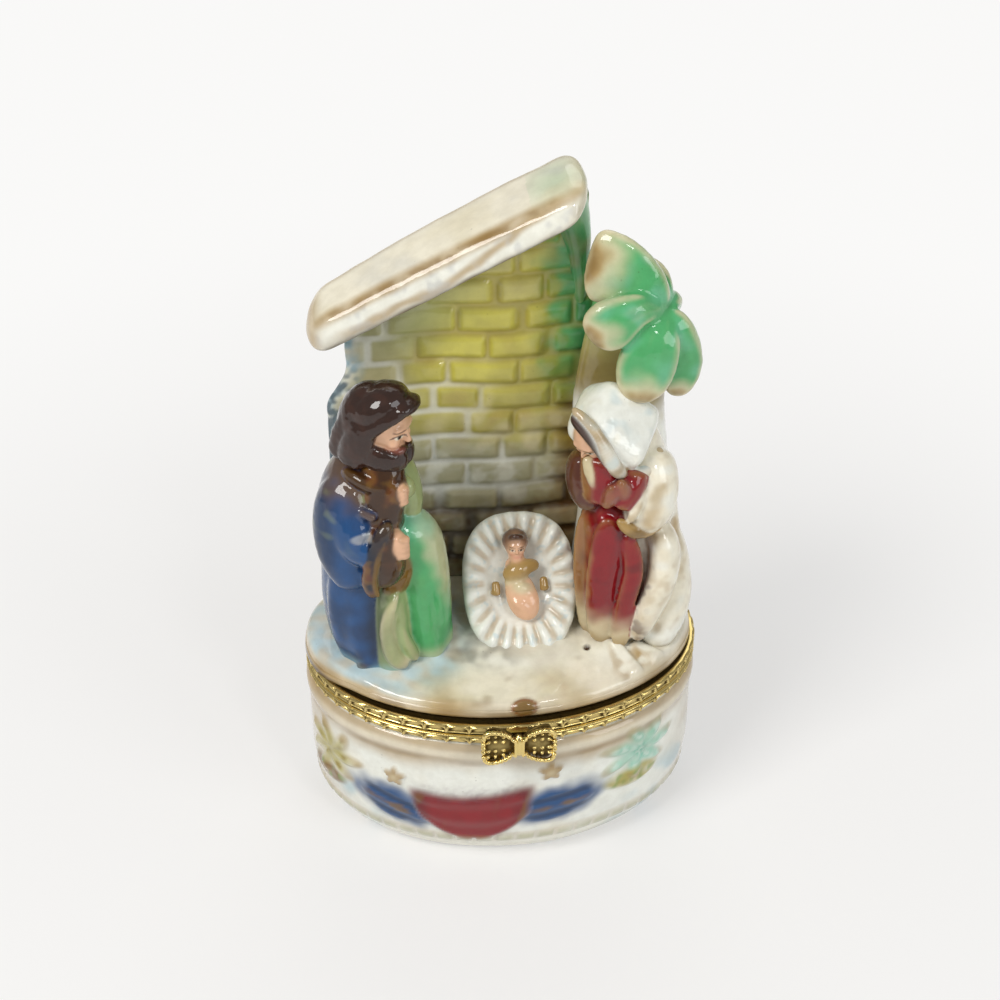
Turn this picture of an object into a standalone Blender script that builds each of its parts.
"""Hinged porcelain trinket box with a nativity scene cast on its lid.

The origin is the centre of the flat foot, +Z is up, +X is the viewer's right and -Y is the front.
The box is an oval cup with a pressed gilt rim; the lid is one porcelain casting on a matching rim,
hinged at the back and held shut by a tongue behind a small gilt bow at the front.
All the dimensions below are in millimetres, and MM turns them into metres.
"""

import math

import bmesh
import bpy
import numpy as np
from mathutils import Matrix, Vector

MM = 0.001

# Rim, cup and seam
RIM_HALF_WIDTH = 29.0
RIM_HALF_DEPTH = 21.1
CUP_HEIGHT = 25.6
CLEARANCE = 0.3
CUP_WALL = 2.4
CUP_FLOOR = 2.6
FOOT_INSET = 4.6
FOOT_CURVE_HEIGHT = 10.5
CUP_SWELL = 1.1
CUP_RELIEF = 0.7
FOOT_BRICK_Z = 4.8
FOOT_BRICK_REACH = 1.8
FOOT_BRICK_SHARE = 0.5

# Pressed rims
BAND_HEIGHT = 1.5
BAND_METAL = 0.7
FLANGE_METAL = 0.6
LIP_HEIGHT = 1.3
LIP_METAL = 0.5
SCALLOPS = 50
SCALLOP_DEPTH = 0.18

# Lid ground
SHOULDER = 1.8
GROUND_THICKNESS = 2.1
GROUND_DOME = 1.4
GROUND_SPREAD = 1.6
LID_RECESS_DEPTH = 1.9
LID_RECESS_INSET = 6.0

# Brick wall and slab roof
WALL_FRONT_Y = 10.0
WALL_BACK_INSET = 0.8
WALL_LEFT_X = -21.4
WALL_RIGHT_X = 13.2
WALL_SPREAD = 2.2
WALL_EDGE = 0.6
WALL_TUCK = 1.3
WALL_COURSE = 4.4
WALL_MORTAR = 0.45
BRICK_LENGTH = 8.8
ROOF_LEFT_X = -26.4
ROOF_RIGHT_X = 12.6
ROOF_UNDER_RISE = (48.0, 68.0)
ROOF_RIDGE_RISE = (53.4, 72.6)
ROOF_BACK_RISE = (54.6, 72.8)
ROOF_FRONT_LOW_Y = (3.2, 2.8)
ROOF_FRONT_TOP_Y = (3.9, 5.3)
ROOF_REAR_Y = (12.8, 18.6)
ROOF_SQUARENESS = 0.5
ROOF_END = 0.18
ROOF_BOW = (-0.3, 0.4, 0.8)

# Figures, tree and crib
MAN_X = -17.4
MAN_Y = -2.2
MAN_HEIGHT = 44.4
WOMAN_X = 19.4
WOMAN_Y = -1.4
WOMAN_HEIGHT = 40.6
CRIB_X = 2.5
CRIB_FOOT_Y = -8.6
CRIB_LENGTH = 21.2
CRIB_WIDTH = 16.6
CRIB_DEPTH = 4.6
CRIB_TILT = 50.0
CRIB_PLEATS = 24
PALM_X = 22.4
PALM_Y = 2.4
PALM_HEIGHT = 51.55

# Hinge
KNUCKLE_RADIUS = 1.4
PIN_RADIUS = 0.5
PIN_HEAD = 0.5
KNUCKLES = 5
KNUCKLE_LENGTH = 2.7
LEAF_METAL = 0.6
LEAF_HEIGHT = 1.8

# Catch and bow
STUD_RADIUS = 0.8
STUD_HEIGHT = 0.6
TONGUE_WIDTH = 3.2
TONGUE_METAL = 0.5
TONGUE_DROP = 2.9
BOW_WIDTH = 10.6
BOW_HEIGHT = 6.6
BOW_DEPTH = 1.7
KNOT_WIDTH = 1.7

# Where the pieces meet
SEAM_Z = CUP_HEIGHT
BASE_RIM_TOP = SEAM_Z - CLEARANCE / 2
LID_RIM_FOOT = SEAM_Z + CLEARANCE / 2
CUP_INSET = BAND_METAL + CLEARANCE
CUP_MOUTH_Z = BASE_RIM_TOP - FLANGE_METAL - CLEARANCE
LIP_INSET = CUP_INSET + CUP_WALL + CLEARANCE
LID_RIM_TOP = LID_RIM_FOOT + BAND_HEIGHT
LID_FOOT_Z = LID_RIM_TOP + CLEARANCE
GROUND_Z = LID_FOOT_Z + GROUND_THICKNESS
HINGE_Y = RIM_HALF_DEPTH + KNUCKLE_RADIUS + CLEARANCE
TONGUE_FRONT_Y = -(RIM_HALF_DEPTH + STUD_HEIGHT + CLEARANCE + TONGUE_METAL)
BOW_BACK_Y = TONGUE_FRONT_Y - CLEARANCE


def smooth(values: list, t: float):
    """A curve through evenly spaced values (Catmull-Rom), read at t from 0 to 1."""
    points = np.array(values, float)
    place = min(max(t, 0.0), 1.0) * (len(points) - 1)
    i = min(int(place), len(points) - 2)
    f = place - i
    a, b = points[max(i - 1, 0)], points[i]
    c, d = points[i + 1], points[min(i + 2, len(points) - 1)]
    return 0.5 * (2 * b + (c - a) * f + (2 * a - 5 * b + 4 * c - d) * f**2 + (3 * b - a - 3 * c + d) * f**3)


def ellipse(half_x: float, half_y: float, turn: float) -> tuple:
    """The point of an ellipse at a share of a turn, starting at the front and going to the right."""
    angle = turn * math.tau - math.pi / 2
    return half_x * math.cos(angle), half_y * math.sin(angle)


def rim_point(inset: float, turn: float, z: float) -> tuple:
    """A point on the rim's oval, moved in by inset."""
    x, y = ellipse(RIM_HALF_WIDTH - inset, RIM_HALF_DEPTH - inset, turn)
    return x, y, z


def add(name: str, bm: bmesh.types.BMesh, material: bpy.types.Material | None = None) -> bpy.types.Object:
    """Makes an object of a mesh built in millimetres, with its faces pointing out."""
    bmesh.ops.recalc_face_normals(bm, faces=bm.faces)
    mesh = bpy.data.meshes.new(name)
    bm.transform(Matrix.Scale(MM, 4))
    bm.to_mesh(mesh)
    bm.free()
    mesh.shade_smooth()
    mesh.set_sharp_from_angle(angle=math.radians(50))
    obj = bpy.data.objects.new(name, mesh)
    bpy.context.scene.collection.objects.link(obj)
    if material:
        mesh.materials.append(material)
    return obj


def wrap(name: str, around: int, along: int, place, material=None, ring: bool = False) -> bpy.types.Object:
    """A closed skin: a grid rolled up so that place(turn, run) gives each of its points.

    The two sides of the grid always meet. With ring set its two ends meet too; otherwise each is capped.
    """
    bm = bmesh.new()
    bmesh.ops.create_grid(bm, x_segments=around, y_segments=along, size=1)
    for vert in bm.verts:
        turn = round((vert.co.x + 1) / 2 * around) % around / around
        run = round((vert.co.y + 1) / 2 * along) / along
        vert.co = place(turn, run % 1 if ring else run)
    bmesh.ops.remove_doubles(bm, verts=bm.verts, dist=1e-4)
    rims = [edge for edge in bm.edges if edge.is_boundary]
    if rims:
        bmesh.ops.holes_fill(bm, edges=rims, sides=0)
    return add(name, bm, material)


def squared(turn: float, square: float) -> tuple:
    """The point of a unit circle at a share of a turn, pressed towards a square where square is below 1."""
    right, up = math.cos(turn * math.tau), math.sin(turn * math.tau)
    return math.copysign(abs(right) ** square, right), math.copysign(abs(up) ** square, up)


def limb(
    name: str,
    path: list,
    widths: list,
    depths: list,
    side: tuple,
    around: int = 10,
    along: int = 7,
    blunt: bool = False,
    square: float = 1.0,
) -> bpy.types.Object:
    """A body swept along a path, widths across towards side and depths across both, with round ends.

    A blunt body starts at its full size, as one that stands on the ground does, and a square below 1
    makes its section squarish.
    """

    def roundness(run: float) -> float:
        start = 1.0 if blunt else min(1.0, run / 0.2)
        end = min(1.0, (1 - run) / 0.2)
        return math.sqrt(1 - (1 - start) ** 2) * math.sqrt(1 - (1 - end) ** 2)

    def place(turn: float, step: float) -> Vector:
        run = step if blunt and step < 0.5 else (1 - math.cos(step * math.pi)) / 2
        centre = Vector(smooth(path, run))
        ahead = Vector(smooth(path, run + 0.02)) - Vector(smooth(path, run - 0.02))
        across = Vector(side) - Vector(side).project(ahead)
        across.normalize()
        other = ahead.cross(across).normalized()
        right, up = squared(turn, square)
        width = smooth(widths, run) / 2 * roundness(run) * right
        depth = smooth(depths, run) / 2 * roundness(run) * up
        return centre + across * width + other * depth

    return wrap(name, around, along, place)


def egg(name: str, centre: tuple, radii: tuple, lean: float = 0.0, segments=12, rings=8) -> bpy.types.Object:
    """An egg-shaped mass, leaning about the front-to-back axis."""
    bm = bmesh.new()
    bmesh.ops.create_uvsphere(bm, u_segments=segments, v_segments=rings, radius=1)
    turn = Matrix.Rotation(math.radians(lean), 4, "Y")
    bm.transform(Matrix.Translation(centre) @ turn @ Matrix.Diagonal((*radii, 1)))
    return add(name, bm)


def block(name: str, low: tuple, high: tuple, round_off: float = 0.0, material=None) -> bpy.types.Object:
    """A box between two corners, with its edges rounded off."""
    bm = bmesh.new()
    bmesh.ops.create_cube(bm, size=1)
    size = Vector(high) - Vector(low)
    middle = (Vector(high) + Vector(low)) / 2
    bm.transform(Matrix.Translation(middle) @ Matrix.Diagonal((*size, 1)))
    if round_off:
        bmesh.ops.bevel(
            bm, geom=bm.edges, offset=round_off, segments=2, profile=0.5, affect="EDGES", material=-1
        )
    return add(name, bm, material)


def rod(
    name: str, radius: float, low_x: float, high_x: float, centre: tuple, segments=14
) -> bpy.types.Object:
    """A round bar along X about a (y, z) centre."""
    bm = bmesh.new()
    length = high_x - low_x
    bmesh.ops.create_cone(bm, cap_ends=True, segments=segments, radius1=radius, radius2=radius, depth=length)
    middle = Vector(((low_x + high_x) / 2, *centre))
    bm.transform(Matrix.Translation(middle) @ Matrix.Rotation(math.pi / 2, 4, "Y"))
    return add(name, bm)


def combine(target: bpy.types.Object, others: list, operation: str) -> bpy.types.Object:
    """Joins others to the target, or cuts them from it, with one live Boolean for them all."""
    group = bpy.data.collections.new(f"{target.name}_{operation.lower()}")
    for other in others:
        other.hide_render = True
        other.display_type = "WIRE"
        other.hide_set(True)
        group.objects.link(other)
    modifier = target.modifiers.new(group.name, "BOOLEAN")
    modifier.operation = operation
    modifier.operand_type = "COLLECTION"
    modifier.collection = group
    modifier.use_self = operation == "UNION"
    return target


def material(name: str, colour: tuple, roughness: float, metallic: float = 0.0) -> bpy.types.Material:
    """A plain Principled finish."""
    made = bpy.data.materials.new(name)
    made.use_nodes = True
    shader = made.node_tree.nodes["Principled BSDF"]
    shader.inputs["Base Color"].default_value = (*colour, 1)
    shader.inputs["Roughness"].default_value = roughness
    shader.inputs["Metallic"].default_value = metallic
    return made


def bump(value: float, centre: float, reach: float) -> float:
    """A soft bump of height 1 at the centre that fades to 0 at reach."""
    return max(0.0, 1 - ((value - centre) / reach) ** 2) ** 2


def cup_relief(x: float, y: float, z: float) -> float:
    """How far the cast relief stands out of the cup: a drape with two ends, stars, palms and foot bricks.

    Each form is its turn from the front in degrees, its height, its reach each way and its share of the
    relief's depth.
    """
    turn = math.degrees(math.atan2(x / RIM_HALF_WIDTH, -y / RIM_HALF_DEPTH))
    forms = [
        (-13.2, 10.6, 20.0, 7.0, 1.0),
        (-40.5, 9.2, 12.0, 4.8, 0.8),
        (14.5, 9.2, 12.0, 4.8, 0.8),
        (-36.5, 15.6, 4.0, 2.2, 0.8),
        (10.0, 18.0, 4.0, 2.2, 0.8),
        (-65.0, 13.8, 11.0, 6.0, 0.9),
        (40.5, 16.0, 11.0, 6.0, 0.9),
    ]
    cast = FOOT_BRICK_SHARE * bump(z, FOOT_BRICK_Z, FOOT_BRICK_REACH)
    for centre, height, wide, tall, share in forms:
        cast = max(cast, share * bump(turn, centre, wide) * bump(z, height, tall))
    return CUP_RELIEF * cast


def make_base_bowl(porcelain: bpy.types.Material) -> bpy.types.Object:
    """The porcelain cup: walls that curve in to a flat oval foot, set back at the mouth for the rim."""
    outside = CUP_INSET - CUP_SWELL
    inside = CUP_INSET + CUP_WALL
    rebate = BASE_RIM_TOP - BAND_HEIGHT - CLEARANCE
    steps = 7

    def corner(floor: float, wall_inset: float, height: float, share: float) -> tuple:
        angle = share * math.pi / 2
        return wall_inset + FOOT_INSET * (1 - math.sin(angle)), floor + height * (1 - math.cos(angle))

    profile = [corner(0, outside, FOOT_CURVE_HEIGHT, i / steps) for i in range(steps + 1)]
    straight = [0.2, 0.4, 0.6, 0.8]
    relief_rows = len(profile) + len(straight)
    profile += [(outside, FOOT_CURVE_HEIGHT + (rebate - FOOT_CURVE_HEIGHT) * share) for share in straight]
    profile += [(outside + 0.2, rebate - 0.5), (CUP_INSET, rebate)]
    profile += [(CUP_INSET, CUP_MOUTH_Z), (inside, CUP_MOUTH_Z)]
    hollow = FOOT_CURVE_HEIGHT - CUP_WALL
    profile += [corner(CUP_FLOOR, inside, hollow, 1 - i / 4) for i in range(5)]

    def place(turn: float, run: float) -> Vector:
        row = round(run * (len(profile) - 1))
        inset, z = profile[row]
        point = Vector(rim_point(inset, turn, z))
        if 0 < row < relief_rows:
            point += Vector((point.x, point.y, 0)).normalized() * cup_relief(*point)
        return point

    return wrap("base_bowl", 90, len(profile) - 1, place, porcelain)


def scalloped(inset: float, turn: float) -> float:
    """The inset of the rim's pressed face, which swells out once for each scallop."""
    wave = abs(math.cos(turn * SCALLOPS * math.pi))
    return inset + SCALLOP_DEPTH * (1 - wave)


def make_rim(name: str, section: list, pressed: int, brass: bpy.types.Material) -> bpy.types.Object:
    """A pressed oval ring of a closed (inset, z) section, with scallops on its first points."""

    def place(turn: float, run: float) -> tuple:
        row = round(run * len(section)) % len(section)
        inset, z = section[row]
        return rim_point(scalloped(inset, turn) if row < pressed else inset, turn, z)

    return wrap(name, SCALLOPS * 2, len(section), place, brass, ring=True)


def make_base_bezel(brass: bpy.types.Material) -> bpy.types.Object:
    """The base rim: a band round the cup, a flange over its mouth, a locating lip and the catch stud."""
    foot = BASE_RIM_TOP - BAND_HEIGHT
    under = BASE_RIM_TOP - FLANGE_METAL
    lip_top = BASE_RIM_TOP + LIP_HEIGHT
    section = [
        (0, foot + 0.25),
        (0, BASE_RIM_TOP),
        (LIP_INSET - CLEARANCE, BASE_RIM_TOP),
        (LIP_INSET, BASE_RIM_TOP),
        (LIP_INSET, lip_top),
        (LIP_INSET + LIP_METAL, lip_top),
        (LIP_INSET + LIP_METAL, under),
        (BAND_METAL, under),
        (BAND_METAL, foot),
        (0.2, foot),
    ]
    bezel = make_rim("base_bezel", section, 2, brass)
    stud = egg(
        "stud_form",
        (0, -RIM_HALF_DEPTH + 0.2, BASE_RIM_TOP - BAND_HEIGHT / 2),
        (STUD_RADIUS, STUD_HEIGHT + 0.2, STUD_RADIUS * 0.8),
    )
    return combine(bezel, [stud], "UNION")


def make_lid_bezel(brass: bpy.types.Material) -> bpy.types.Object:
    """The lid rim: a band over the seam and a flat shoulder that the porcelain sits on."""
    shoulder_in = LIP_INSET - CLEARANCE - 0.1
    under = LID_RIM_TOP - FLANGE_METAL
    section = [
        (0, LID_RIM_FOOT),
        (0, LID_RIM_TOP - 0.25),
        (0.2, LID_RIM_TOP),
        (SHOULDER, LID_RIM_TOP),
        (shoulder_in, LID_RIM_TOP),
        (shoulder_in, under),
        (BAND_METAL, under),
        (BAND_METAL, LID_RIM_FOOT),
    ]
    return make_rim("lid_bezel", section, 2, brass)


def ground_height(x: float, y: float) -> float:
    """The lid's gently domed ground."""
    reach = (x / RIM_HALF_WIDTH) ** 2 + (y / RIM_HALF_DEPTH) ** 2
    return GROUND_Z + GROUND_DOME * max(0.0, 1 - reach)


def make_ground() -> bpy.types.Object:
    """The oval ground of the lid, with its rounded lip and the shallow recess beneath."""
    rows = [
        (LID_RECESS_INSET, 0.0),
        (SHOULDER + 0.3, 0.0),
        (SHOULDER, 0.4),
        (SHOULDER, GROUND_THICKNESS - 0.8),
        (SHOULDER + 0.9, GROUND_THICKNESS),
        (SHOULDER + 4.5, GROUND_THICKNESS),
        (SHOULDER + 12.0, GROUND_THICKNESS),
    ]

    def place(turn: float, run: float) -> tuple:
        row = round(run * len(rows)) - 1
        if row < 0:
            x, y, z = rim_point(LID_RECESS_INSET * 2, turn, LID_FOOT_Z + LID_RECESS_DEPTH)
            return x, y, z
        inset, rise = rows[row]
        x, y, z = rim_point(inset, turn, LID_FOOT_Z + rise)
        if rise > 0:
            x += math.copysign(GROUND_SPREAD * abs(x / RIM_HALF_WIDTH) ** 3, x)
        return x, y, z if rise < GROUND_THICKNESS else ground_height(x, y)

    return wrap("lid_scene", 48, len(rows), place)


def brick_relief(x: float, z: float) -> float:
    """The depth of the mortar lines of the running bond at a place on the wall's face."""
    course = (z - GROUND_Z) / WALL_COURSE
    shift = 0.5 * (math.floor(course) % 2)
    column = (x - WALL_RIGHT_X) / BRICK_LENGTH + shift
    level = abs(course - round(course)) * WALL_COURSE
    upright = abs(column - round(column)) * BRICK_LENGTH
    return WALL_MORTAR if min(level, upright) < 0.55 else 0.0


def between(pair: tuple, share: float) -> float:
    """A value that runs evenly from the first of a pair to the second."""
    return pair[0] + (pair[1] - pair[0]) * share


def roof_under(x: float) -> float:
    """The height of the roof's underside."""
    return SEAM_Z + between(ROOF_UNDER_RISE, (x - ROOF_LEFT_X) / (ROOF_RIGHT_X - ROOF_LEFT_X))


def wall_left(z: float) -> float:
    """The wall's left edge, which spreads towards the ground."""
    share = min(1.0, (z - GROUND_Z) / (roof_under(WALL_LEFT_X) - GROUND_Z))
    return WALL_LEFT_X - WALL_SPREAD * (1 - max(share, 0.0) ** 2)


def lid_back(x: float) -> float:
    """The back of the lid's oval at x, where the wall's back stands."""
    half_width = RIM_HALF_WIDTH - SHOULDER - WALL_BACK_INSET
    half_depth = RIM_HALF_DEPTH - SHOULDER - WALL_BACK_INSET
    return half_depth * math.sqrt(max(0.0, 1 - (x / half_width) ** 2))


def make_wall() -> bpy.types.Object:
    """The brick wall: a running bond in front, the lid's oval behind, cut off under the roof."""
    front, back = 18, 8
    courses = math.ceil((roof_under(WALL_RIGHT_X) + 2 - GROUND_Z) / WALL_COURSE) + 1

    def place(turn: float, run: float) -> tuple:
        z = GROUND_Z + (run * courses - 0.5) * WALL_COURSE
        left = wall_left(z)
        column = round(turn * (front + back))
        if column <= front:
            x = left + (WALL_RIGHT_X - left) * column / front
            inside = 0 < column < front
            return x, WALL_FRONT_Y + (brick_relief(x, z) if inside else WALL_EDGE), z
        share = (column - front) / back
        x = WALL_RIGHT_X + (left - WALL_RIGHT_X) * share**1.4
        return x, max(lid_back(x), WALL_FRONT_Y + WALL_EDGE * 2), z

    wall = wrap("wall_form", front + back, courses * 2, place)
    bm = bmesh.new()
    bm.from_mesh(wall.data)
    slope = math.atan2(roof_under(ROOF_RIGHT_X) - roof_under(ROOF_LEFT_X), ROOF_RIGHT_X - ROOF_LEFT_X)
    on_plane = Vector((0, 0, roof_under(0) + WALL_TUCK)) * MM
    cut = bmesh.ops.bisect_plane(
        bm,
        geom=[*bm.verts, *bm.edges, *bm.faces],
        plane_co=on_plane,
        plane_no=Vector((-math.sin(slope), 0, math.cos(slope))),
        clear_outer=True,
    )
    edges = [item for item in cut["geom_cut"] if isinstance(item, bmesh.types.BMEdge)]
    bmesh.ops.holes_fill(bm, edges=edges, sides=0)
    bm.to_mesh(wall.data)
    bm.free()
    return wall


def make_roof() -> list:
    """The slab roof, narrow at its low left end and wide at its high right end, and its neck to the wall."""
    along = 12

    def place(turn: float, run: float) -> tuple:
        share = (1 - math.cos(run * math.pi)) / 2
        end = min(1.0, max(0.0, abs(share - 0.5) * 2 - 1 + ROOF_END) / ROOF_END)
        tuck = math.sqrt(1 - end**2.4)
        right, up = squared(turn, ROOF_SQUARENESS)
        back, rise = (right * tuck + 1) / 2, (up * tuck + 1) / 2
        bow = math.sin(share * math.pi)
        under = between(ROOF_UNDER_RISE, share) + ROOF_BOW[0] * bow
        ridge = between(ROOF_RIDGE_RISE, share) + ROOF_BOW[1] * bow
        rear = between(ROOF_BACK_RISE, share) + ROOF_BOW[2] * bow
        front = between((between(ROOF_FRONT_LOW_Y, share), between(ROOF_FRONT_TOP_Y, share)), rise)
        y = between((front, between(ROOF_REAR_Y, share)), back)
        z = SEAM_Z + between((under, between((ridge, rear), back)), rise)
        return between((ROOF_LEFT_X, ROOF_RIGHT_X), share), y, z

    slab = wrap("roof_form", 24, along, place)
    x, y, z = ROOF_RIGHT_X, WALL_FRONT_Y, SEAM_Z + ROOF_UNDER_RISE[1]
    steps = [(-3.0, 2.0, 2.0), (-2.0, 2.0, -2.0), (-1.0, 1.6, -7.0), (0.0, 1.2, -13.6)]
    path = [(x + right, y + back, z + up) for right, back, up in steps]
    neck = limb("roof_neck", path, [6.4, 4.6, 3.4, 2.0], [9.0, 7.4, 4.4, 2.6], (1, 0, 0))
    return [slab, neck]


def make_man() -> list:
    """The kneeling man on the left: robe, cloak, raised knee, arms, head, hair and beard."""

    def at(right: float, back: float, share: float) -> tuple:
        return MAN_X + right, MAN_Y + back, GROUND_Z - 1.0 + share * MAN_HEIGHT

    return [
        limb(
            "man_robe",
            [
                at(-1.2, 1.6, -0.006), at(-1.8, 1.4, 0.188), at(-2.2, 1.0, 0.391), at(-2.2, 0.6, 0.571),
                at(-1.0, 0.2, 0.706), at(0.0, -0.2, 0.796),
            ],
            [15.6, 15.0, 13.0, 13.4, 11.0, 5.0],
            [14.0, 13.0, 12.0, 11.4, 10.0, 5.0],
            (1, 0, 0),
            around=16,
            along=8,
            blunt=True,
        ),
        limb(
            "man_skirt",
            [at(-2.2, -2.2, -0.001), at(-2.6, -1.8, 0.120), at(-2.6, -1.0, 0.256), at(-3.0, -0.8, 0.391)],
            [12.4, 12.2, 11.4, 9.0],
            [11.6, 10.4, 9.6, 8.0],
            (1, 0, 0),
            around=12,
            blunt=True,
        ),
        limb(
            "man_cloak",
            [
                at(-3.6, -1.2, 0.720), at(-5.0, -2.4, 0.593), at(-5.2, -3.6, 0.472),
                at(-4.2, -4.8, 0.382), at(-3.6, -5.4, 0.328),
            ],
            [6.6, 8.8, 8.4, 6.8, 4.8],
            [7.0, 8.0, 7.0, 5.0, 3.6],
            (1, 0, 0),
            around=12,
            along=8,
        ),
        limb(
            "man_arm",
            [at(-3.6, -1.8, 0.702), at(-4.4, -4.0, 0.584), at(-3.0, -5.8, 0.503), at(-0.2, -7.0, 0.508)],
            [6.4, 6.8, 6.4, 4.2],
            [6.6, 7.0, 7.0, 4.6],
            (1, 0, 0),
        ),
        limb(
            "man_cuff",
            [at(0.3, -7.1, 0.593), at(-0.5, -7.6, 0.512), at(-0.8, -7.4, 0.413), at(-1.3, -7.0, 0.323)],
            [3.0, 4.0, 4.4, 3.0],
            [3.8, 4.4, 4.4, 3.4],
            (1, 0, 0),
        ),
        limb(
            "man_knee",
            [
                at(0.0, -0.8, 0.436), at(2.6, -1.8, 0.481), at(4.8, -2.0, 0.445), at(6.1, -2.4, 0.337),
                at(6.4, -2.6, 0.188), at(6.4, -2.8, 0.008),
            ],
            [7.8, 8.2, 7.6, 6.6, 6.6, 7.2],
            [8.6, 8.8, 8.4, 8.0, 8.2, 8.8],
            (0.7, 0, 0.7),
            around=12,
            along=8,
        ),
        limb(
            "man_lap",
            [at(5.4, -2.8, -0.001), at(5.5, -2.8, 0.166), at(5.2, -2.8, 0.323), at(4.8, -1.4, 0.472)],
            [8.8, 7.8, 6.6, 5.2],
            [9.2, 8.4, 7.6, 7.4],
            (1, 0, 0),
            around=12,
            blunt=True,
        ),
        limb(
            "man_front",
            [at(1.0, -5.4, 0.003), at(0.8, -5.2, 0.120), at(0.9, -4.8, 0.256), at(1.2, -4.2, 0.346)],
            [6.6, 5.8, 4.8, 3.2],
            [8.0, 7.2, 6.0, 4.4],
            (1, 0, 0),
            around=12,
            blunt=True,
        ),
        limb(
            "man_fold",
            [
                at(1.8, -6.7, 0.323), at(0.4, -7.5, 0.253), at(0.0, -8.0, 0.184), at(0.8, -8.7, 0.098),
                at(2.8, -8.7, 0.051),
            ],
            [1.4, 1.9, 2.2, 2.4, 1.9],
            [2.2, 2.6, 2.8, 2.8, 2.2],
            (1, 0, 0),
            around=8,
        ),
        limb(
            "man_foot",
            [at(-5.2, -6.2, 0.026), at(-3.8, -8.0, 0.044)],
            [3.2, 2.2],
            [2.6, 1.8],
            (1, 0, 0),
            along=5,
        ),
        limb(
            "man_chest",
            [at(0.2, -2.0, 0.769), at(0.4, -4.2, 0.670), at(-0.2, -4.2, 0.526)],
            [6.6, 6.0, 6.0],
            [4.4, 4.8, 5.4],
            (1, 0, 0),
        ),
        limb(
            "man_far_arm",
            [at(2.2, 1.2, 0.715), at(3.6, 0.6, 0.648), at(4.0, -0.8, 0.580), at(3.2, -2.4, 0.539)],
            [4.4, 4.2, 4.0, 3.2],
            [6.0, 6.2, 5.6, 4.0],
            (1, 0, 0),
        ),
        egg("man_fist", at(2.1, -7.2, 0.519), (2.0, 1.8, 2.4)),
        egg("man_hand", at(2.6, -4.4, 0.675), (1.8, 1.8, 2.2)),
        egg("man_head", at(0.4, -0.7, 0.889), (4.2, 3.6, 4.4), 12.0, 14, 10),
        egg("man_hair", at(-0.6, -0.4, 0.920), (5.0, 4.8, 4.5), 12.0, 14, 10),
        limb(
            "man_locks",
            [at(0.0, -0.2, 0.954), at(-2.2, 0.4, 0.895), at(-2.8, 0.6, 0.823), at(-3.5, 0.8, 0.749)],
            [7.0, 9.4, 9.6, 7.6],
            [6.6, 9.6, 9.8, 8.2],
            (1, 0, 0),
            around=12,
        ),
        limb(
            "man_forelock",
            [at(2.0, -2.0, 0.985), at(3.7, -2.2, 0.963), at(4.1, -2.2, 0.929)],
            [3.4, 4.0, 3.0],
            [2.2, 2.6, 1.8],
            (0, 1, 0),
            around=8,
            along=5,
        ),
        limb(
            "man_beard",
            [at(-0.2, -3.2, 0.828), at(1.4, -2.6, 0.787), at(2.5, -1.8, 0.765), at(1.9, -1.5, 0.724)],
            [3.4, 4.8, 4.8, 2.4],
            [3.4, 3.8, 3.4, 2.4],
            (0, 1, 0),
        ),
        egg("man_nose", at(3.9, -2.2, 0.850), (1.0, 0.7, 0.9), segments=8, rings=6),
    ]


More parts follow.
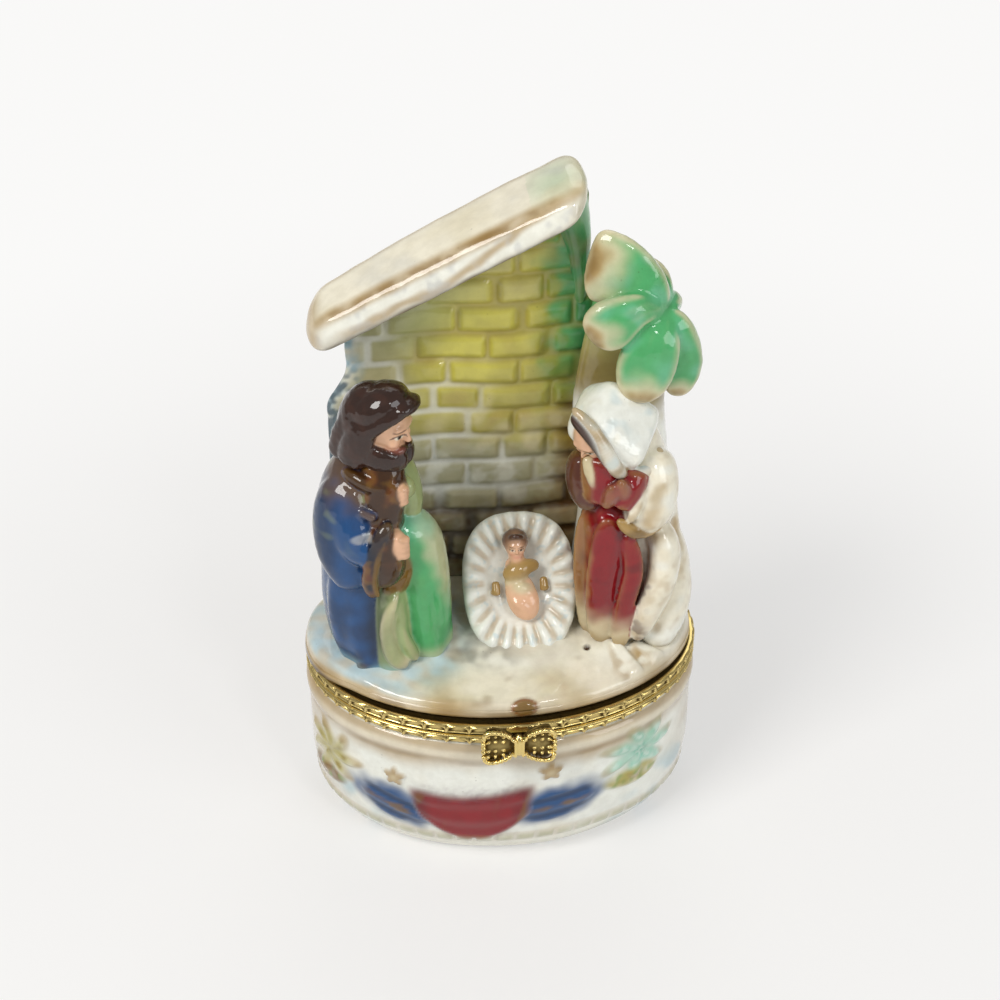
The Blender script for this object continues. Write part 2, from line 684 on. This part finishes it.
def make_woman() -> list:
    """The bowing woman on the right: dress, mantle, sleeves, hands and veiled head."""

    def at(right: float, back: float, share: float) -> tuple:
        return WOMAN_X + right, WOMAN_Y + back, GROUND_Z - 1.0 + share * WOMAN_HEIGHT

    return [
        limb(
            "woman_skirt",
            [
                at(0.6, 1.2, -0.001), at(0.6, 1.2, 0.230), at(0.4, 1.4, 0.427), at(-0.4, 1.4, 0.624),
                at(-1.8, 0.8, 0.797), at(-2.8, 0.2, 0.895),
            ],
            [15.6, 14.4, 12.6, 11.4, 9.6, 6.0],
            [12.6, 12.0, 11.4, 10.6, 9.0, 6.0],
            (1, 0, 0),
            around=16,
            along=8,
            blunt=True,
        ),
        limb(
            "woman_dress",
            [
                at(-3.8, -2.2, -0.001), at(-4.2, -2.4, 0.156), at(-4.4, -2.6, 0.329),
                at(-4.6, -2.8, 0.501), at(-5.4, -3.0, 0.649),
            ],
            [10.2, 9.4, 8.8, 7.8, 6.6],
            [12.4, 11.0, 10.0, 9.0, 7.6],
            (1, 0, 0),
            around=12,
            blunt=True,
        ),
        limb(
            "woman_fold",
            [at(-2.8, -7.0, 0.536), at(-2.0, -7.8, 0.378), at(-2.8, -8.0, 0.230), at(-3.4, -8.4, 0.033)],
            [1.8, 2.4, 2.4, 2.6],
            [1.4, 2.0, 2.0, 2.2],
            (1, 0, 0),
            around=8,
        ),
        limb(
            "woman_mantle_fold",
            [
                at(2.2, -3.4, 0.516), at(3.4, -5.0, 0.403), at(3.2, -6.2, 0.289), at(1.4, -7.2, 0.211),
                at(-1.0, -8.0, 0.166),
            ],
            [5.0, 7.0, 7.4, 5.4, 2.6],
            [6.6, 7.6, 7.4, 5.6, 3.2],
            (0.8, -0.2, 0.5),
        ),
        limb(
            "woman_hem",
            [at(5.6, -0.2, 0.304), at(5.8, -3.0, 0.196), at(3.4, -5.2, 0.092), at(-0.6, -7.4, 0.063)],
            [3.6, 5.8, 6.6, 4.8],
            [6.4, 7.4, 6.8, 4.2],
            (0.6, 0, 0.8),
        ),
        limb(
            "woman_mantle",
            [at(5.6, 2.6, 0.009), at(5.2, 2.4, 0.181), at(4.2, 2.4, 0.378), at(3.0, 2.4, 0.575)],
            [6.4, 5.4, 5.2, 4.4],
            [10.0, 9.0, 8.6, 7.6],
            (1, 0, 0),
            around=12,
            blunt=True,
        ),
        limb(
            "woman_sleeve",
            [at(1.0, -0.6, 0.792), at(1.0, -3.0, 0.683), at(0.0, -5.0, 0.605), at(-2.2, -6.6, 0.570)],
            [6.8, 8.4, 8.0, 4.4],
            [6.8, 8.0, 7.0, 3.8],
            (1, -0.3, 0.3),
            around=12,
        ),
        limb(
            "woman_forearm",
            [at(-1.8, -5.2, 0.777), at(-2.6, -6.8, 0.713), at(-4.0, -7.4, 0.654)],
            [4.6, 4.0, 2.4],
            [3.6, 3.6, 2.6],
            (1, 0, 0),
            along=5,
        ),
        limb(
            "woman_far_arm",
            [at(-8.2, -1.0, 0.797), at(-8.8, -2.4, 0.723), at(-8.2, -4.0, 0.664), at(-6.6, -5.6, 0.669)],
            [3.4, 3.8, 3.4, 2.4],
            [5.0, 5.0, 4.4, 3.0],
            (1, 0, 0),
        ),
        limb(
            "woman_chest",
            [at(-5.6, -3.6, 0.831), at(-5.8, -4.4, 0.748), at(-5.8, -4.8, 0.649)],
            [6.0, 6.0, 5.6],
            [6.0, 6.0, 5.6],
            (1, 0, 0),
            along=5,
        ),
        egg("woman_hands", at(-4.1, -7.8, 0.728), (1.6, 1.4, 2.4), -8.0),
        egg("woman_face", at(-6.6, -3.0, 0.905), (3.3, 3.2, 3.9), -20.0),
        limb(
            "woman_veil",
            [at(-8.0, -0.6, 1.009), at(-5.8, -0.8, 0.959), at(-2.4, -0.8, 0.866), at(0.4, -1.0, 0.777)],
            [8.2, 10.0, 11.0, 9.6],
            [6.4, 8.6, 8.6, 7.4],
            (0.8, 0.55, 0.12),
            around=16,
            along=8,
            square=0.66,
        ),
        limb(
            "woman_veil_edge",
            [
                at(-10.4, -3.8, 1.018), at(-7.9, -6.1, 0.986), at(-5.7, -7.1, 0.895),
                at(-4.4, -7.0, 0.812), at(-3.0, -5.6, 0.762),
            ],
            [1.6, 2.2, 2.4, 2.2, 1.8],
            [1.6, 2.2, 2.4, 2.2, 1.8],
            (0.6, 0, 0.8),
            around=8,
            along=8,
        ),
        limb(
            "woman_veil_brim",
            [at(-3.6, -6.0, 0.770), at(-0.8, -4.8, 0.757), at(1.8, -2.6, 0.777), at(3.0, 0.0, 0.826)],
            [2.0, 2.4, 2.4, 2.0],
            [2.0, 2.4, 2.4, 2.0],
            (0, 0, 1),
            around=8,
        ),
    ]


def make_crib() -> list:
    """The tilted crib with its pleated cloth rim, and the child lying in it."""
    tilt = Matrix.Rotation(math.radians(CRIB_TILT), 4, "X")
    foot = Vector((CRIB_X, CRIB_FOOT_Y, GROUND_Z))
    frame = Matrix.Translation(foot) @ tilt @ Matrix.Translation((0, CRIB_LENGTH / 2, 0))
    rows = [(0.6, -1.9), (0.92, -1.4), (1.0, -0.5), (0.97, 0.1), (0.86, 0.42), (0.72, 0.3), (0.55, -0.1)]

    def place(turn: float, run: float) -> Vector:
        share, level = rows[round(run * (len(rows) - 1))]
        x, y = ellipse(CRIB_WIDTH / 2 * share, CRIB_LENGTH / 2 * share, turn)
        pleat = 0.3 * math.cos(turn * CRIB_PLEATS * math.tau) if level > 0 else 0.0
        return frame @ Vector((x, y, level * CRIB_DEPTH / 2 + pleat))

    child = [
        egg("child_head", tuple(frame @ Vector((-0.2, 4.4, 1.0))), (2.1, 2.1, 2.3), segments=12, rings=8),
        limb(
            "child_body",
            [frame @ Vector((0, 3.0, 0.4)), frame @ Vector((0, 0.6, 0.9)), frame @ Vector((0.4, -4.6, 0.3))],
            [4.6, 5.6, 3.0],
            [2.2, 3.0, 2.2],
            (1, 0, 0),
            along=5,
        ),
    ]
    return [wrap("crib_form", CRIB_PLEATS * 2, len(rows) - 1, place), *child]


def make_palm() -> list:
    """The palm behind the woman: a trunk that flares to the ground, webs to the wall and six fronds."""

    def at(right: float, back: float, share: float) -> tuple:
        return PALM_X + right, PALM_Y + back, GROUND_Z - 1.0 + share * PALM_HEIGHT

    hub = at(0, 0, 1)
    stems = [
        limb(
            "palm_trunk",
            [
                at(0.6, 4.2, -0.001), at(0.4, 3.8, 0.220), at(-0.4, 3.6, 0.492), at(-1.0, 3.6, 0.725),
                at(-0.4, 3.0, 0.977),
            ],
            [11.0, 8.6, 6.0, 5.0, 4.4],
            [9.6, 8.4, 6.6, 5.6, 4.6],
            (1, 0, 0),
            around=12,
            blunt=True,
        ),
        limb(
            "palm_web",
            [at(-7.2, 7.0, 0.531), at(-6.4, 6.6, 0.725), at(-5.5, 6.1, 0.899), at(-5.0, 5.2, 1.047)],
            [8.6, 9.0, 8.2, 6.4],
            [3.4, 3.2, 3.2, 3.4],
            (1, 0, 0),
        ),
        limb(
            "palm_root",
            [at(-5.4, 6.6, 0.007), at(-5.4, 6.8, 0.298), at(-6.0, 7.0, 0.608)],
            [12.0, 9.0, 8.0],
            [4.6, 3.6, 3.0],
            (1, 0, 0),
            around=12,
            blunt=True,
        ),
    ]
    shapes = [
        (
            [at(-3.0, 0.0, 1.043), at(-6.2, 0.8, 1.085), at(-9.8, 2.0, 1.155)],
            [3.4, 6.4, 8.0, 5.4],
            [3.0, 3.8, 3.4, 2.2],
        ),
        (
            [at(-3.6, -2.6, 1.043), at(-7.4, -3.4, 1.008), at(-10.5, -3.0, 0.961)],
            [2.6, 4.6, 6.0, 4.6],
            [2.8, 3.4, 3.4, 3.0],
        ),
        (
            [at(-1.5, -2.8, 0.953), at(-3.1, -4.0, 0.864), at(-4.5, -4.6, 0.775)],
            [2.6, 6.0, 6.6, 4.0],
            [3.0, 3.8, 3.8, 2.6],
        ),
        (
            [at(1.2, -1.4, 0.946), at(2.4, -0.8, 0.849), at(1.8, -1.0, 0.748)],
            [2.4, 4.4, 5.0, 3.4],
            [2.8, 3.4, 3.4, 2.4],
        ),
        ([at(1.2, 2.6, 0.988), at(1.8, 5.2, 0.926)], [2.6, 3.6, 2.4], [2.6, 3.2, 2.2]),
        ([at(-0.8, 3.6, 1.027), at(-2.6, 6.4, 1.054)], [2.6, 4.4, 3.0], [2.6, 3.0, 2.2]),
    ]
    fronds = []
    for index, (path, widths, depths) in enumerate(shapes):
        across = (Vector(path[-1]) - Vector(hub)).cross(Vector((0, 1, -0.25)))
        fronds.append(limb(f"frond_{index + 1}", [hub, *path], widths, depths, tuple(across), along=6))
    return [*stems, *fronds]


def make_lid_scene(porcelain: bpy.types.Material) -> bpy.types.Object:
    """The lid's porcelain casting: ground, wall, roof, tree, figures and crib fused into one body."""
    lid = make_ground()
    lid.data.materials.append(porcelain)
    shapes = [make_wall(), *make_roof(), *make_palm(), *make_woman(), *make_man(), *make_crib()]
    return combine(lid, shapes, "UNION")


def knuckle_span(index: int) -> tuple:
    """The two ends of a knuckle along the pin."""
    pitch = KNUCKLE_LENGTH + CLEARANCE
    middle = (index - (KNUCKLES - 1) / 2) * pitch
    return middle - KNUCKLE_LENGTH / 2, middle + KNUCKLE_LENGTH / 2


def make_leaf(name: str, first: int, on_lid: bool, brass: bpy.types.Material) -> bpy.types.Object:
    """A hinge leaf: a plate with every second knuckle on it, bored for the pin."""
    owned = range(first, KNUCKLES, 2)
    low_x = knuckle_span(owned[0])[0]
    high_x = knuckle_span(owned[-1])[1]
    plate_in = RIM_HALF_DEPTH + CLEARANCE
    plate_out = plate_in + LEAF_METAL
    reach = KNUCKLE_RADIUS + CLEARANCE
    if on_lid:
        plate_z = max(LID_RIM_TOP + CLEARANCE, SEAM_Z + reach)
        low = (low_x, RIM_HALF_DEPTH - SHOULDER + CLEARANCE * 2, plate_z)
        plate = block(name, low, (high_x, plate_out, plate_z + LEAF_METAL), 0, brass)
        web = (SEAM_Z + KNUCKLE_RADIUS * 0.4, plate_z + LEAF_METAL / 2)
    else:
        plate_z = SEAM_Z - reach
        plate = block(name, (low_x, plate_in, plate_z - LEAF_HEIGHT), (high_x, plate_out, plate_z), 0, brass)
        web = (plate_z - LEAF_METAL / 2, SEAM_Z - KNUCKLE_RADIUS * 0.4)
    shapes = []
    for index in owned:
        left, right = knuckle_span(index)
        inner = plate_in + 0.05
        shapes.append(rod(f"{name}_knuckle_{index}", KNUCKLE_RADIUS, left, right, (HINGE_Y, SEAM_Z)))
        low, high = (left + 0.05, inner, web[0]), (right - 0.05, plate_out - 0.05, web[1])
        shapes.append(block(f"{name}_web_{index}", low, high))
    bore = rod(f"{name}_bore", PIN_RADIUS + CLEARANCE, low_x - 1, high_x + 1, (HINGE_Y, SEAM_Z))
    return combine(combine(plate, shapes, "UNION"), [bore], "DIFFERENCE")


def make_hinge_pin(brass: bpy.types.Material) -> bpy.types.Object:
    """The hinge pin, with a flat head past each end knuckle."""
    reach = knuckle_span(KNUCKLES - 1)[1] + CLEARANCE
    pin = rod("hinge_pin", PIN_RADIUS, -reach - PIN_HEAD / 2, reach + PIN_HEAD / 2, (HINGE_Y, SEAM_Z))
    pin.data.materials.append(brass)
    head = PIN_RADIUS + CLEARANCE * 1.5
    heads = [
        rod("pin_head_left", head, -reach - PIN_HEAD, -reach, (HINGE_Y, SEAM_Z)),
        rod("pin_head_right", head, reach, reach + PIN_HEAD, (HINGE_Y, SEAM_Z)),
    ]
    return combine(pin, heads, "UNION")


def make_clasp_tongue(brass: bpy.types.Material) -> bpy.types.Object:
    """The spring tongue on the lid rim, which reaches down over the catch stud."""
    half = TONGUE_WIDTH / 2
    back = TONGUE_FRONT_Y + TONGUE_METAL
    low, high = SEAM_Z - TONGUE_DROP, LID_RIM_TOP
    strip = block("clasp_tongue", (-half, TONGUE_FRONT_Y, low), (half, back, high), 0, brass)
    foot_low = LID_RIM_FOOT + CLEARANCE
    foot_back = -(RIM_HALF_DEPTH + CLEARANCE)
    foot = block("tongue_foot", (-half + 0.1, back - 0.1, foot_low), (half - 0.1, foot_back, high - 0.1))
    return combine(strip, [foot], "UNION")


def make_bow_clasp(brass: bpy.types.Material) -> bpy.types.Object:
    """The cast bow: a knot between two hollow loops that flare outwards."""
    middle_y = BOW_BACK_Y - BOW_DEPTH / 2
    knot = block(
        "bow_clasp",
        (-KNOT_WIDTH / 2, BOW_BACK_Y - BOW_DEPTH - 0.3, SEAM_Z - BOW_HEIGHT * 0.3),
        (KNOT_WIDTH / 2, BOW_BACK_Y, SEAM_Z + BOW_HEIGHT * 0.3),
        0.35,
        brass,
    )
    loops, hollows = [], []
    for side in (-1, 1):
        path = [(side * BOW_WIDTH / 2 * share, middle_y, SEAM_Z) for share in (0.05, 0.4, 0.75, 1.0)]
        heights = [BOW_HEIGHT * share for share in (0.4, 0.72, 1.0, 0.8)]
        depths = [BOW_DEPTH * share for share in (0.7, 1.0, 1.0, 0.6)]
        loops.append(limb(f"bow_loop_{side}", path, heights, depths, (0, 0, 1)))
        hollow_x = side * BOW_WIDTH * 0.31
        radii = (BOW_WIDTH * 0.12, BOW_DEPTH * 0.55, BOW_HEIGHT * 0.25)
        hollows.append(egg(f"bow_hollow_{side}", (hollow_x, BOW_BACK_Y - BOW_DEPTH, SEAM_Z), radii))
    return combine(combine(knot, loops, "UNION"), hollows, "DIFFERENCE")


def main() -> None:
    """Clears the scene and builds every piece of the box."""
    for obj in list(bpy.data.objects):
        bpy.data.objects.remove(obj)
    porcelain = material("porcelain", (0.72, 0.68, 0.6), 0.15)
    brass = material("gilt_brass", (0.75, 0.58, 0.22), 0.25, 1.0)
    make_base_bowl(porcelain)
    make_base_bezel(brass)
    make_lid_scene(porcelain)
    make_lid_bezel(brass)
    make_leaf("base_hinge_leaf", 0, False, brass)
    make_leaf("lid_hinge_leaf", 1, True, brass)
    make_hinge_pin(brass)
    make_clasp_tongue(brass)
    make_bow_clasp(brass)


main()
